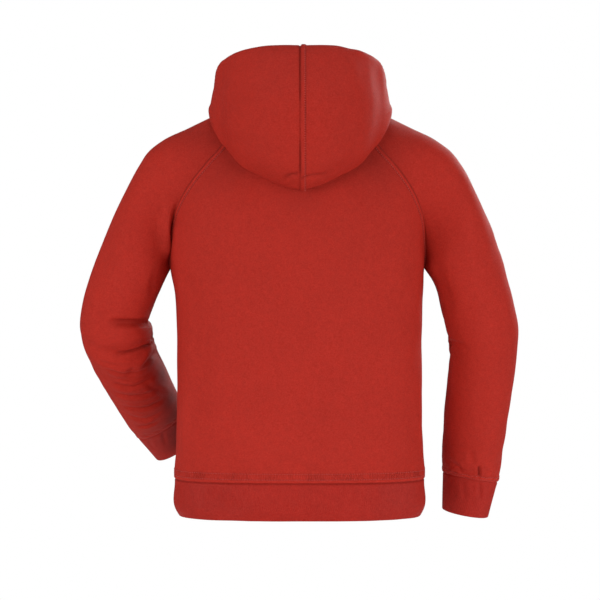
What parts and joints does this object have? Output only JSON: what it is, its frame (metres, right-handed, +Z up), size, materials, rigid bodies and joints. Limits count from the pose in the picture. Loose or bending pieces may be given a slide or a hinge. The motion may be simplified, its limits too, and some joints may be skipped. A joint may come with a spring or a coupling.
{
  "type": "kids hoodie",
  "caption": "Child's plain red pullover hoodie with raglan sleeves, ribbed cuffs and hem band, filled out as if worn with the hood lying back and the left elbow bent.",
  "frame": {"origin": "midway between the high shoulder points, where the wearer's neck and shoulders carry the garment", "axes": "+Z up the wearer's body, -Y out of the garment's front, +X to the wearer's left"},
  "size_m": [0.5711, 0.3649, 0.606],
  "materials": {
    "fleece": "matte brushed sweatshirt knit",
    "rib": "matte fine rib knit"
  },
  "bodies": {
    "root": {"back_panel": "fleece", "front_panel": "fleece", "sleeve_left": "fleece", "sleeve_right": "fleece", "hood_left": "fleece", "hood_right": "fleece", "cuff_left": "rib", "cuff_right": "rib", "hem_band": "rib"}
  },
  "joints": []
}
